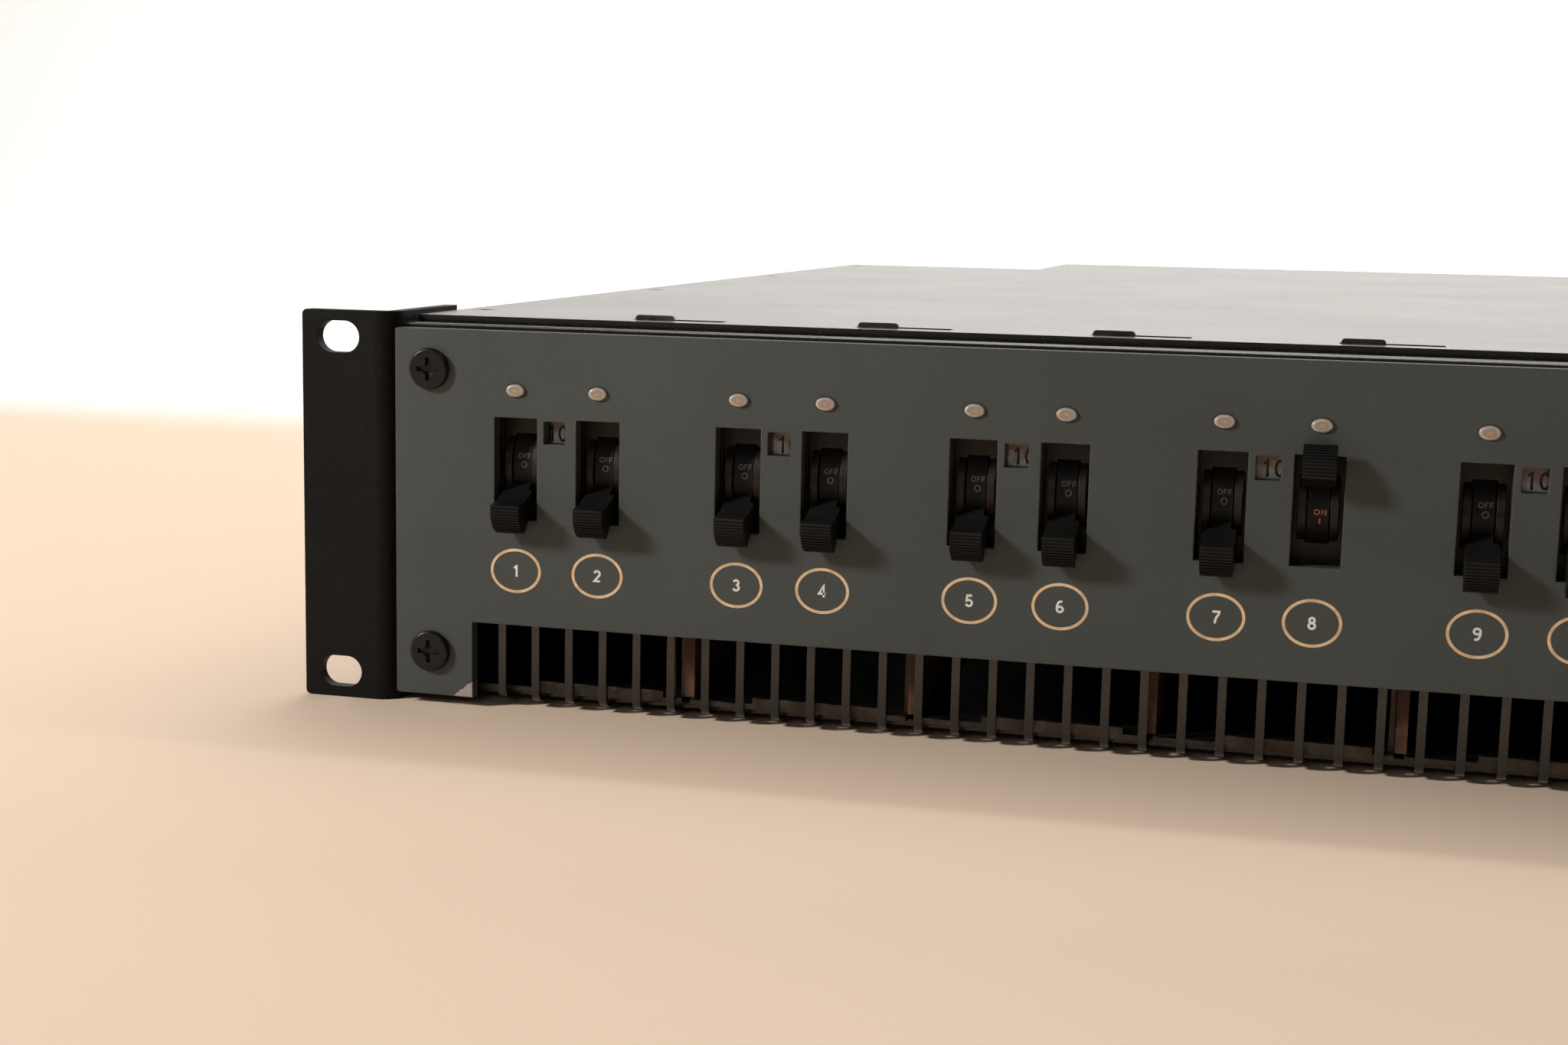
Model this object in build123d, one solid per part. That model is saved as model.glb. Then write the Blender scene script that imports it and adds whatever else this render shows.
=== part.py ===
"""Rack power strip: a two-unit, 19-inch mains distribution unit with sixteen breaker handles.

Frame: X runs to the right, Y runs back into the rack, Z is up. The origin is the centre of the
four rack slots, on the front faces of the ears and of the front panel. Millimetres.
"""
from build123d import *
import math
import os

# ---- rack standard -------------------------------------------------------------------------
RACK_WIDTH = 482.6              # over the ears
RACK_HEIGHT = 88.1              # two rack units, less the running gap
SLOT_SPACING_X = 465.1
SLOT_SPACING_Z = 76.2
SLOT_LENGTH = 10.2
SLOT_WIDTH = 7.1

# ---- chassis -------------------------------------------------------------------------------
CHASSIS_WIDTH = 437.4
CHASSIS_TOP = 41.6
CHASSIS_BOTTOM = -42.6
CHASSIS_REAR = 525.5            # outer face of the turned-in rear edges
SHEET = 1.5
FRONT_BEND = 2.5                # outer radius of the long front bends
TOP_LIP_REAR = 15.0             # where the folded top lip ends
TOP_STRIP = 15.5                # width of the folded strips at the sides and rear of the top
REAR_RETURN = 10.1              # height of the turned-in edges round the rear opening
RECESS_RIGHT = -142.0           # rear-left corner recess for the supply inlet
RECESS_FRONT = 444.0

# ---- top cover -----------------------------------------------------------------------------
COVER_WIDTH = 434.8
COVER_FRONT = 10.0
COVER_REAR = 527.0
HOOK_SLOT = (20.9, 5.0)

# ---- front panel ---------------------------------------------------------------------------
PANEL_THICK = 3.2
PANEL_TOP = 40.6
PANEL_BOTTOM = -41.8
VENT_TOP = -24.6                # top edge of the long cut-out that shows the grille
VENT_HALF = 200.4
PANEL_SCREW = (210.4, 31.75)

# ---- ventilation grille --------------------------------------------------------------------
GRILLE_PITCH = 7.9375
GRILLE_BAR = 1.8
GRILLE_SLOTS = 51
GRILLE_TOP = -21.0
GRILLE_REAR = 10.0              # how far the slots run back into the floor

# ---- breaker modules -----------------------------------------------------------------------
MODULES = 8
MODULE_PITCH = 50.8
FIRST_BREAKER = 13.1            # from the module's left side to its first breaker
BREAKER_PITCH = 19.05
WINDOW = (10.0, 22.6)
WINDOW_Z = 10.4
SMALL_WINDOW = (5.0, 5.0)
SMALL_WINDOW_Z = 18.65
LENS = (4.5, 3.0)
LENS_Z = 27.7

CASE_WIDTH = 18.8
CASE_FRONT = 5.0
CASE_REAR = 58.0
CASE_TOP = 24.8
CASE_BOTTOM = -20.0
CASE_RECESS = 1.8               # depth of the well round the handle
PIVOT_Y = 14.7
PIN_RADIUS = 1.5
PIN_CLEARANCE = 0.05

SKIRT_RADIUS = 10.4
SKIRT_HALF = 2.1
CHEEK_FRONT = 3.7               # crest of the curved cheeks
CHEEK_RADIUS = 8.8
CHEEK_OUTER = 4.0
HANDLE_SWING = 28.4             # each side of straight out
HEAD_HALF = 3.3                 # half the width of the handle's head
SHOULDER = (13.3, 1.8)          # distance from the pivot and half thickness, for each station
WAIST = (18.3, 2.3)
TIP_CORNER = (22.3, 3.7)
TIP_CREST = 23.7
RIBS = 12
RIB_GROOVE = (0.3, 0.3)         # width and depth
RAISED_HANDLE = 8               # the one handle that rests switched on

# ---- trays, boards and bars ----------------------------------------------------------------
TRAY_SHEET = 1.2
TRAY_LIP = (15.4, 45.6, -38.5)  # from the module left side: ends and top edge
TRAY_FRONT = 7.0
TRAY_REAR = 150.0
TRAY_WALL = 48.6                # left face of the side wall
SHELF_REAR = 58.0
HOOK = (34.5, 43.4, 18.0, 44.1)  # left, right, front face and top of the hook tab
BOARD_THICK = 1.6
LINER_THICK = 2.4
LINER_FRONT = 9.0
LINER_REAR = 54.0

# ---- rear ----------------------------------------------------------------------------------
REAR_PANEL = 1.5
OUTLET_COLUMNS = 8
OUTLET_PITCH = 44.0
OUTLET_ROW_Z = 19.0
OUTLET_FLANGE = (32.0, 25.0, 2.0)
OUTLET_BODY = (28.0, 21.0, 25.0)
INLET_X = -180.0
GLAND_BORE = 9.0
SEAL_OUTER = 11.1
SEAL_GAP = 0.1

EAR_SHEET = 3.0
EAR_BEND = 5.0
EAR_REAR = 35.0


def block(x0, x1, y0, y1, z0, z1):
    """A box between two opposite corners."""
    size = (x1 - x0, y1 - y0, z1 - z0)
    return Pos((x0 + x1) / 2, (y0 + y1) / 2, (z0 + z1) / 2) * Box(*size)


def rod_y(radius, x, z, y0, y1):
    """A round bar along Y."""
    return Pos(x, (y0 + y1) / 2, z) * Rot(90, 0, 0) * Cylinder(radius, y1 - y0)


def rod_x(radius, y, z, x0, x1):
    """A round bar along X."""
    return Pos((x0 + x1) / 2, y, z) * Rot(0, 90, 0) * Cylinder(radius, x1 - x0)


def rod_z(radius, x, y, z0, z1):
    """A round bar along Z."""
    return Pos(x, y, (z0 + z1) / 2) * Cylinder(radius, z1 - z0)


def module_left(index):
    """Left side of a module, counted from 0."""
    return (index - MODULES / 2) * MODULE_PITCH


def breaker_x(number):
    """Centre line of a breaker, counted from 1."""
    module, second = divmod(number - 1, 2)
    return module_left(module) + FIRST_BREAKER + second * BREAKER_PITCH


BREAKERS = range(1, 2 * MODULES + 1)


def outlet_places():
    """Centres of the rear outlets, the upper row first."""
    middle = (RECESS_RIGHT + CHASSIS_WIDTH / 2) / 2
    for z in (OUTLET_ROW_Z, -OUTLET_ROW_Z):
        for column in range(OUTLET_COLUMNS):
            yield middle + (column - (OUTLET_COLUMNS - 1) / 2) * OUTLET_PITCH, z


def front_openings(y0, y1, lens_gap):
    """Everything the panel and the chassis front are both pierced by."""
    holes = []
    for number in BREAKERS:
        x = breaker_x(number)
        holes.append(block(x - WINDOW[0] / 2, x + WINDOW[0] / 2, y0, y1,
                           WINDOW_Z - WINDOW[1] / 2, WINDOW_Z + WINDOW[1] / 2))
        oval = Ellipse(LENS[0] / 2 + lens_gap, LENS[1] / 2 + lens_gap)
        holes.append(Pos(x, y1, LENS_Z) * Rot(90, 0, 0) * extrude(oval, y1 - y0))
    for module in range(MODULES):
        x = module_left(module) + FIRST_BREAKER + BREAKER_PITCH / 2 - 0.5
        holes.append(block(x - SMALL_WINDOW[0] / 2, x + SMALL_WINDOW[0] / 2, y0, y1,
                           SMALL_WINDOW_Z - SMALL_WINDOW[1] / 2,
                           SMALL_WINDOW_Z + SMALL_WINDOW[1] / 2))
    for side in (-1, 1):
        for z in (-PANEL_SCREW[1], PANEL_SCREW[1]):
            holes.append(rod_y(2.5, side * PANEL_SCREW[0], z, y0, y1))
    return holes


# ---- sheet metal ---------------------------------------------------------------------------
def recess_cut():
    """The space of the inlet recess, through the whole height."""
    return block(-RACK_WIDTH, RECESS_RIGHT, RECESS_FRONT, CHASSIS_REAR + 50, -RACK_HEIGHT, RACK_HEIGHT)


def chassis():
    """One folded tray: floor, sides, grilled front with a top lip, and returns at the back."""
    half = CHASSIS_WIDTH / 2
    outer = block(-half, half, PANEL_THICK, CHASSIS_REAR, CHASSIS_BOTTOM, CHASSIS_TOP)
    outer = fillet(outer.edges().filter_by(Axis.X).group_by(Axis.Y)[0], FRONT_BEND)
    inner = block(-half + SHEET, half - SHEET, PANEL_THICK + SHEET, CHASSIS_REAR - SHEET,
                  CHASSIS_BOTTOM + SHEET, CHASSIS_TOP - SHEET)
    inner = fillet(inner.edges().filter_by(Axis.X).group_by(Axis.Y)[0], FRONT_BEND - SHEET)
    shell = outer - inner
    inside = half - TOP_STRIP
    cuts = [block(-inside, inside, TOP_LIP_REAR, CHASSIS_REAR - TOP_STRIP, 0, RACK_HEIGHT),
            block(RECESS_RIGHT + REAR_RETURN, half - REAR_RETURN, CHASSIS_REAR - 2 * SHEET, CHASSIS_REAR + 1,
                  CHASSIS_BOTTOM + REAR_RETURN, CHASSIS_TOP - REAR_RETURN),
            recess_cut()]
    back_of_front = PANEL_THICK + SHEET
    cuts += front_openings(PANEL_THICK - 1, back_of_front + 1, 0.05)
    slot = GRILLE_PITCH - GRILLE_BAR
    for index in range(GRILLE_SLOTS):
        x = (index - (GRILLE_SLOTS - 1) / 2) * GRILLE_PITCH
        cuts.append(block(x - slot / 2, x + slot / 2, PANEL_THICK - 1, GRILLE_REAR,
                          CHASSIS_BOTTOM - 1, GRILLE_TOP))
    cuts += [rod_z(1.5, x, y, 0, RACK_HEIGHT) for x, y in cover_screw_places()]
    cuts += [rod_y(1.5, x, z, CHASSIS_REAR - 5, CHASSIS_REAR + 5) for x, z in rear_screw_places()]
    for side in (-1, 1):
        for y, z in ear_screw_places():
            cuts.append(rod_x(2.0, y, z, side * half - 5, side * half + 5))
    return shell - cuts


def cover_screw_places():
    """Countersunk screws down both sides of the cover and along its rear edge."""
    side_x = 212.0
    places = [(side * side_x, y) for side in (-1, 1) for y in (36.0, 166.0, 296.0, 426.0)]
    return places + [(x, CHASSIS_REAR - TOP_STRIP / 2) for x in (-120.0, 38.0, 196.0)]


def rear_screw_places():
    """Pan-head screws round the rear panel."""
    top = CHASSIS_TOP - REAR_RETURN / 2
    bottom = CHASSIS_BOTTOM + REAR_RETURN / 2
    return [(x, z) for x in (-134.0, -16.3, 101.4, 211.0) for z in (bottom, top)]


def ear_screw_places():
    """Screws through each ear's side flange."""
    return [(24.0, z) for z in (-28.0, 28.0)]


def top_cover():
    """Flat lid with a slot over each tray hook and countersunk screw holes."""
    half = COVER_WIDTH / 2
    lid = block(-half, half, COVER_FRONT, COVER_REAR, CHASSIS_TOP, CHASSIS_TOP + SHEET)
    cuts = [recess_cut()]
    for module in range(MODULES):
        x = module_left(module) + HOOK[0] - 0.3
        y = HOOK[2] + TRAY_SHEET / 2
        cuts.append(block(x, x + HOOK_SLOT[0], y - HOOK_SLOT[1] / 2, y + HOOK_SLOT[1] / 2, 0, RACK_HEIGHT))
    for x, y in cover_screw_places():
        cuts.append(Pos(x, y, CHASSIS_TOP + SHEET / 2) * Cone(1.6, 3.0, SHEET))
    return lid - cuts


def front_panel():
    """Painted plate with the breaker windows and the long ventilation cut-out."""
    half = CHASSIS_WIDTH / 2
    plate = block(-half, half, 0, PANEL_THICK, PANEL_BOTTOM, PANEL_TOP)
    plate -= block(-VENT_HALF, VENT_HALF, -1, PANEL_THICK + 1, PANEL_BOTTOM - 1, VENT_TOP)
    plate = fillet(plate.edges().filter_by(Axis.Y).group_by(Axis.X)[0], 0.6)
    plate = fillet(plate.edges().filter_by(Axis.Y).group_by(Axis.X)[-1], 0.6)
    return plate - front_openings(-1, PANEL_THICK + 1, 0.05)


def rack_ear(side):
    """Angle bracket with two slots in the ear and a flange along the chassis side."""
    half_z = RACK_HEIGHT / 2
    wall = CHASSIS_WIDTH / 2
    ear = block(wall, RACK_WIDTH / 2, 0, EAR_REAR, -half_z, half_z)
    ear = fillet(ear.edges().filter_by(Axis.Z).sort_by(lambda e: e.center().X + e.center().Y)[0], EAR_BEND)
    ear -= block(wall + EAR_SHEET, RACK_WIDTH, EAR_SHEET, RACK_WIDTH, -RACK_HEIGHT, RACK_HEIGHT)
    ear = fillet(ear.edges().filter_by(Axis.Y).group_by(Axis.X)[-1], 1.2)
    for z in (-SLOT_SPACING_Z / 2, SLOT_SPACING_Z / 2):
        slot = SlotOverall(SLOT_LENGTH, SLOT_WIDTH)
        ear -= Pos(SLOT_SPACING_X / 2, EAR_SHEET + 1, z) * Rot(90, 0, 0) * extrude(slot, EAR_SHEET + 2)
    for y, z in ear_screw_places():
        ear -= rod_x(2.1, y, z, wall - 1, wall + EAR_SHEET + 1)
    return ear if side > 0 else mirror(ear, about=Plane.YZ)


def rear_panel():
    """Plate over the rear opening, cut out for the outlets."""
    panel = block(RECESS_RIGHT, CHASSIS_WIDTH / 2, CHASSIS_REAR, CHASSIS_REAR + REAR_PANEL,
                  CHASSIS_BOTTOM, CHASSIS_TOP)
    half_x, half_z = OUTLET_BODY[0] / 2, OUTLET_BODY[1] / 2
    cuts = [block(x - half_x, x + half_x, CHASSIS_REAR - 1, CHASSIS_REAR + 5, z - half_z, z + half_z)
            for x, z in outlet_places()]
    cuts += [rod_y(1.6, x, z, CHASSIS_REAR - 1, CHASSIS_REAR + 5) for x, z in rear_screw_places()]
    return panel - cuts


def inlet_recess():
    """Folded plate that closes the corner recess and carries the supply gland."""
    bottom, top = CHASSIS_BOTTOM + SHEET, CHASSIS_TOP - SHEET
    left = -CHASSIS_WIDTH / 2 + SHEET
    facing_rear = block(left, RECESS_RIGHT, RECESS_FRONT - SHEET, RECESS_FRONT, bottom, top)
    facing_left = block(RECESS_RIGHT, RECESS_RIGHT + SHEET, RECESS_FRONT - SHEET, CHASSIS_REAR - SHEET,
                        bottom, top)
    return facing_rear + facing_left - rod_y(12.5, INLET_X, 0, RECESS_FRONT - 5, RECESS_FRONT + 5)


# ---- fasteners -----------------------------------------------------------------------------
def cross_recess(depth, reach=2.3, blade=0.9):
    """Cutter for a cross drive, opening towards -Y from the origin."""
    arms = block(-reach, reach, -1, depth, -blade / 2, blade / 2)
    arms += block(-blade / 2, blade / 2, -1, depth, -reach, reach)
    return arms + Pos(0, depth / 2, 0) * Rot(-90, 0, 0) * Cone(1.4, 0.3, depth)


def pan_screw(head, height, shank, length):
    """Pan-head screw along +Y; its head seats on the plane Y = 0."""
    cap = Rot(90, 0, 0) * Pos(0, 0, height / 2) * Cylinder(head / 2, height)
    cap = fillet(cap.edges().group_by(Axis.Y)[0], height * 0.45)
    cap -= Pos(0, -height, 0) * cross_recess(height * 0.7, reach=head * 0.28, blade=head * 0.12)
    return cap + rod_y(shank / 2, 0, 0, 0, length)


def countersunk_screw():
    """Countersunk cover screw, pointing down, flush with the cover."""
    head = Pos(0, 0, -SHEET / 2) * Cone(1.45, 2.85, SHEET)
    screw = head + rod_z(1.4, 0, 0, -6.0, -SHEET)
    return screw - Rot(-90, 0, 0) * cross_recess(0.9, reach=1.5, blade=0.6)


def panel_screws():
    screw = pan_screw(9.2, 1.4, 4.8, 11.0)
    return [Pos(side * PANEL_SCREW[0], 0, z) * screw
            for side in (-1, 1) for z in (-PANEL_SCREW[1], PANEL_SCREW[1])]


def panel_nuts():
    """Hexagon nuts behind the chassis front."""
    nut = extrude(RegularPolygon(4.6, 6), 4.0) - Cylinder(2.45, 20)
    y = PANEL_THICK + SHEET + 4.0
    return [Pos(side * PANEL_SCREW[0], y, z) * Rot(90, 0, 0) * nut
            for side in (-1, 1) for z in (-PANEL_SCREW[1], PANEL_SCREW[1])]


def ear_screws():
    screw = pan_screw(7.6, 2.3, 3.9, EAR_SHEET + SHEET + 4.0)
    wall = CHASSIS_WIDTH / 2 + EAR_SHEET
    return [Pos(side * wall, y, z) * Rot(0, 0, side * 90) * screw
            for side in (-1, 1) for y, z in ear_screw_places()]


def rear_screws():
    screw = pan_screw(5.6, 1.9, 2.9, 6.0)
    return [Pos(x, CHASSIS_REAR + REAR_PANEL, z) * Rot(0, 0, 180) * screw
            for x, z in rear_screw_places()]


def cover_screws():
    return [Pos(x, y, CHASSIS_TOP + SHEET) * countersunk_screw() for x, y in cover_screw_places()]


# ---- breakers ------------------------------------------------------------------------------
def breaker_case(number):
    """Moulded case with a well for the handle and two curved cheeks beside its skirt."""
    x = breaker_x(number)
    half = CASE_WIDTH / 2
    case = block(x - half, x + half, CASE_FRONT, CASE_REAR, CASE_BOTTOM, CASE_TOP)
    well = (WINDOW[0] / 2 - 0.1, WINDOW[1] / 2)
    well_floor = CASE_FRONT + CASE_RECESS
    case -= block(x - well[0], x + well[0], CASE_FRONT - 1, well_floor, WINDOW_Z - well[1], WINDOW_Z + well[1])
    cheeks = rod_x(CHEEK_RADIUS, CHEEK_FRONT + CHEEK_RADIUS, WINDOW_Z, x - CHEEK_OUTER, x + CHEEK_OUTER)
    cheeks &= block(x - half, x + half, 0, well_floor + 0.5, CASE_BOTTOM, CASE_TOP)
    slot = SKIRT_HALF + 0.3
    case += cheeks
    case -= rod_x(SKIRT_RADIUS + 0.3, PIVOT_Y, WINDOW_Z, x - slot, x + slot)
    case -= block(x - slot, x + slot, 0, PIVOT_Y, WINDOW_Z - 7.0, WINDOW_Z + 7.0)
    return case - rod_x(PIN_RADIUS, PIVOT_Y, WINDOW_Z, x - CHEEK_OUTER, x + CHEEK_OUTER)


def head_profile():
    """Side outline of the handle's head: shoulder, waist, flared tip and a convex end."""
    upper = Polyline(SHOULDER, WAIST, TIP_CORNER)
    below = [(reach, -half) for reach, half in (TIP_CORNER, WAIST, SHOULDER)]
    end = ThreePointArc(TIP_CORNER, (TIP_CREST, 0), below[0])
    return make_face(upper + end + Polyline(*below) + Line(below[-1], SHOULDER))


def handle_blank():
    """Handle about its pivot at the origin, straight out towards -Y: skirt, neck and ribbed head."""
    head = extrude(head_profile(), HEAD_HALF, both=True)
    head = fillet(head.edges().filter_by(Axis.Y).group_by(Axis.X)[0], 0.9)
    head = Rot(0, 0, -90) * Rot(90, 0, 0) * head
    neck = block(-SKIRT_HALF, SKIRT_HALF, -SHOULDER[0] - 1, 0, -SHOULDER[1], SHOULDER[1])
    handle = head + neck + rod_x(SKIRT_RADIUS, 0, 0, -SKIRT_HALF, SKIRT_HALF)
    sagitta = TIP_CREST - TIP_CORNER[0]
    radius = (TIP_CORNER[1] ** 2 + sagitta ** 2) / (2 * sagitta)
    spread = math.degrees(math.asin(TIP_CORNER[1] / radius))
    groove = block(-HEAD_HALF - 1, HEAD_HALF + 1, -radius - 1, RIB_GROOVE[1] - radius,
                   -RIB_GROOVE[0] / 2, RIB_GROOVE[0] / 2)
    for index in range(1, RIBS):
        turn = spread * (2 * index / RIBS - 1)
        handle -= Pos(0, radius - TIP_CREST, 0) * Rot(turn, 0, 0) * groove
    return handle - rod_x(PIN_RADIUS + PIN_CLEARANCE, 0, 0, -SKIRT_HALF - 1, SKIRT_HALF + 1)


def placed_handle(blank, number):
    """Handle turned down to off, or up to on for the raised one."""
    turn = -HANDLE_SWING if number == RAISED_HANDLE else HANDLE_SWING
    return Pos(breaker_x(number), PIVOT_Y, WINDOW_Z) * Rot(turn, 0, 0) * blank


def handle_pins():
    return [rod_x(PIN_RADIUS, PIVOT_Y, WINDOW_Z, breaker_x(n) - CHEEK_OUTER, breaker_x(n) + CHEEK_OUTER)
            for n in BREAKERS]


def led_lenses():
    """Oval domed lenses with a flange behind the chassis front."""
    lenses = []
    rear = 7.0
    for number in BREAKERS:
        oval = extrude(Ellipse(LENS[0] / 2, LENS[1] / 2), rear + 0.7)
        oval = fillet(oval.edges().group_by(Axis.Z)[-1], 0.6)
        body = Rot(90, 0, 0) * oval
        flange = Pos(0, PANEL_THICK + SHEET + 0.05 - rear, 0) * Rot(-90, 0, 0) * extrude(Ellipse(3.1, 2.2), 1.0)
        lenses.append(Pos(breaker_x(number), rear, LENS_Z) * (body + flange))
    return lenses


def led_board():
    """Circuit board behind the lenses."""
    half = MODULES * MODULE_PITCH / 2 - 2
    return block(-half, half, 7.0, 7.0 + BOARD_THICK, CASE_TOP + 0.5, 37.0)


def rating_labels():
    """Printed label across each pair of cases, behind the small window."""
    labels = []
    for module in range(MODULES):
        x = module_left(module) + FIRST_BREAKER + BREAKER_PITCH / 2
        labels.append(block(x - 3.9, x + 3.9, 4.75, 4.95, 12.0, 24.0))
    return labels


def load_terminals():
    """Blade terminals on the backs of the breakers."""
    return [block(breaker_x(n) - 3.15, breaker_x(n) + 3.15, CASE_REAR, CASE_REAR + 12, -12.0, -11.2)
            for n in BREAKERS]


def line_busbar():
    """Copper bar that feeds all the breakers."""
    return block(breaker_x(1) - 6, breaker_x(2 * MODULES) + 6, CASE_REAR, CASE_REAR + 2, 8.0, 20.0)


# ---- modules -------------------------------------------------------------------------------
def module_tray(index):
    """Bare metal tray: floor with a front lip, side wall, breaker shelf and a hook at the top."""
    left = module_left(index)
    floor_low = CHASSIS_BOTTOM + SHEET
    floor_top = floor_low + TRAY_SHEET
    wall = left + TRAY_WALL
    top = 38.5
    tray = block(left + 1, wall + TRAY_SHEET, TRAY_FRONT, TRAY_REAR, floor_low, floor_top)
    tray += block(left + TRAY_LIP[0], left + TRAY_LIP[1], TRAY_FRONT, TRAY_FRONT + TRAY_SHEET,
                  floor_low, TRAY_LIP[2])
    tray += block(wall, wall + TRAY_SHEET, 11.0, SHELF_REAR, floor_low, top)
    tray += block(left + 3.2, wall, 11.0, SHELF_REAR, CASE_BOTTOM - TRAY_SHEET, CASE_BOTTOM)
    tray += block(left + 30, wall + TRAY_SHEET, 11.0, 40.0, top, top + TRAY_SHEET)
    hook = block(left + HOOK[0], left + HOOK[1], HOOK[2], HOOK[2] + TRAY_SHEET, top, HOOK[3])
    return tray + fillet(hook.edges().filter_by(Axis.Y).group_by(Axis.Z)[-1], 0.8)


def module_liners():
    """Brown pressboard liner on the side wall of each tray, between one module and the next."""
    liners = []
    for module in range(MODULES):
        x = module_left(module) + TRAY_WALL + TRAY_SHEET + 0.05
        liners.append(block(x, x + LINER_THICK, LINER_FRONT, LINER_REAR, -39.8, 37.5))
    return liners


# ---- rear wiring parts ---------------------------------------------------------------------
def outlet(x, z):
    """Panel outlet: flange, body, shroud groove and three contact slots."""
    half_x, half_z = OUTLET_BODY[0] / 2 - 0.1, OUTLET_BODY[1] / 2 - 0.1
    seat = CHASSIS_REAR + REAR_PANEL
    face = seat + OUTLET_FLANGE[2]
    body = block(-half_x, half_x, seat - OUTLET_BODY[2], seat, -half_z, half_z)
    flange = block(-OUTLET_FLANGE[0] / 2, OUTLET_FLANGE[0] / 2, seat, face,
                   -OUTLET_FLANGE[1] / 2, OUTLET_FLANGE[1] / 2)
    flange = fillet(flange.edges().filter_by(Axis.Y), 1.5)
    groove = keyed_block(26.0, 18.5, 4.0, seat - 16, face + 1)
    groove -= keyed_block(20.6, 13.1, 2.6, seat - 17, face + 2)
    socket = body + flange - groove
    for slot_x, slot_z in ((-7.0, -1.5), (0.0, 2.5), (7.0, -1.5)):
        socket -= block(slot_x - 1.25, slot_x + 1.25, seat - 14, face + 1, slot_z - 2.2, slot_z + 2.2)
    return Pos(x, 0, z) * socket


def keyed_block(width, height, corner, y0, y1):
    """Rectangle with its two upper corners cut off, along Y."""
    shape = block(-width / 2, width / 2, y0, y1, -height / 2, height / 2)
    return chamfer(shape.edges().filter_by(Axis.Y).group_by(Axis.Z)[-1], corner)


def wiring_bar(y, x0, x1, z):
    """Brass bar with a row of screw holes."""
    bar = block(x0, x1, y - 4, y + 4, z, z + 8)
    step = 18.0
    count = int((x1 - x0) // step)
    return bar - [rod_z(2.0, x0 + step * (i + 0.5), y, z - 1, z + 9) for i in range(count)]


def bar_supports():
    """Insulating posts under the neutral and earth bars."""
    floor_top = CHASSIS_BOTTOM + SHEET
    return [block(x - 6, x + 6, 438.0, 482.0, floor_top, -24.0) for x in (-96.0, 172.0)]


def input_terminal_block():
    """Three-pole block behind the inlet recess."""
    floor_top = CHASSIS_BOTTOM + SHEET
    body = block(-202.0, -158.0, 396.0, 424.0, floor_top, -6.0)
    for pole in (-1, 0, 1):
        x = INLET_X + pole * 13.0
        body -= rod_z(3.6, x, 403.0, -16.0, 0)
        body -= rod_z(3.6, x, 417.0, -16.0, 0)
        body -= rod_y(3.4, x, -22.0, 390.0, 430.0)
    return body


def gland_body():
    """Threaded gland body with its hexagon collar against the recess plate."""
    collar = Pos(INLET_X, RECESS_FRONT + 7, 0) * Rot(90, 0, 0) * extrude(RegularPolygon(17.0, 6), 7)
    body = collar + rod_y(12.4, INLET_X, 0, RECESS_FRONT - 12, RECESS_FRONT + 1)
    body += rod_y(12.5, INLET_X, 0, RECESS_FRONT + 6, RECESS_FRONT + 16)
    body -= rod_y(SEAL_OUTER + SEAL_GAP, INLET_X, 0, RECESS_FRONT + 8, RECESS_FRONT + 40)
    return body - rod_y(GLAND_BORE, INLET_X, 0, RECESS_FRONT - 20, RECESS_FRONT + 40)


def gland_seal():
    """Rubber ring that the cap squeezes round the supply cable."""
    ring = rod_y(SEAL_OUTER, INLET_X, 0, RECESS_FRONT + 8, RECESS_FRONT + 16.6)
    return ring - rod_y(GLAND_BORE - 1, INLET_X, 0, RECESS_FRONT, RECESS_FRONT + 40)


def gland_lock_nut():
    """Hexagon nut on the inside of the recess plate."""
    rear = RECESS_FRONT - SHEET
    nut = Pos(INLET_X, rear, 0) * Rot(90, 0, 0) * extrude(RegularPolygon(17.5, 6), 5)
    return nut - rod_y(12.45, INLET_X, 0, rear - 10, rear + 10)


def gland_cap():
    """Domed compression nut, with flats for a spanner."""
    start = RECESS_FRONT + 7.2
    cap = Pos(INLET_X, start + 12, 0) * Rot(90, 0, 0) * extrude(RegularPolygon(17.0, 6), 12)
    dome = Pos(INLET_X, start + 12 + 5.5, 0) * Rot(-90, 0, 0) * Cone(14.6, 11.5, 11)
    cap += fillet(dome.edges().group_by(Axis.Y)[-1], 1.2)
    cap -= rod_y(12.6, INLET_X, 0, start - 1, start + 9.5)
    return cap - rod_y(GLAND_BORE, INLET_X, 0, start - 1, start + 40)


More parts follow.
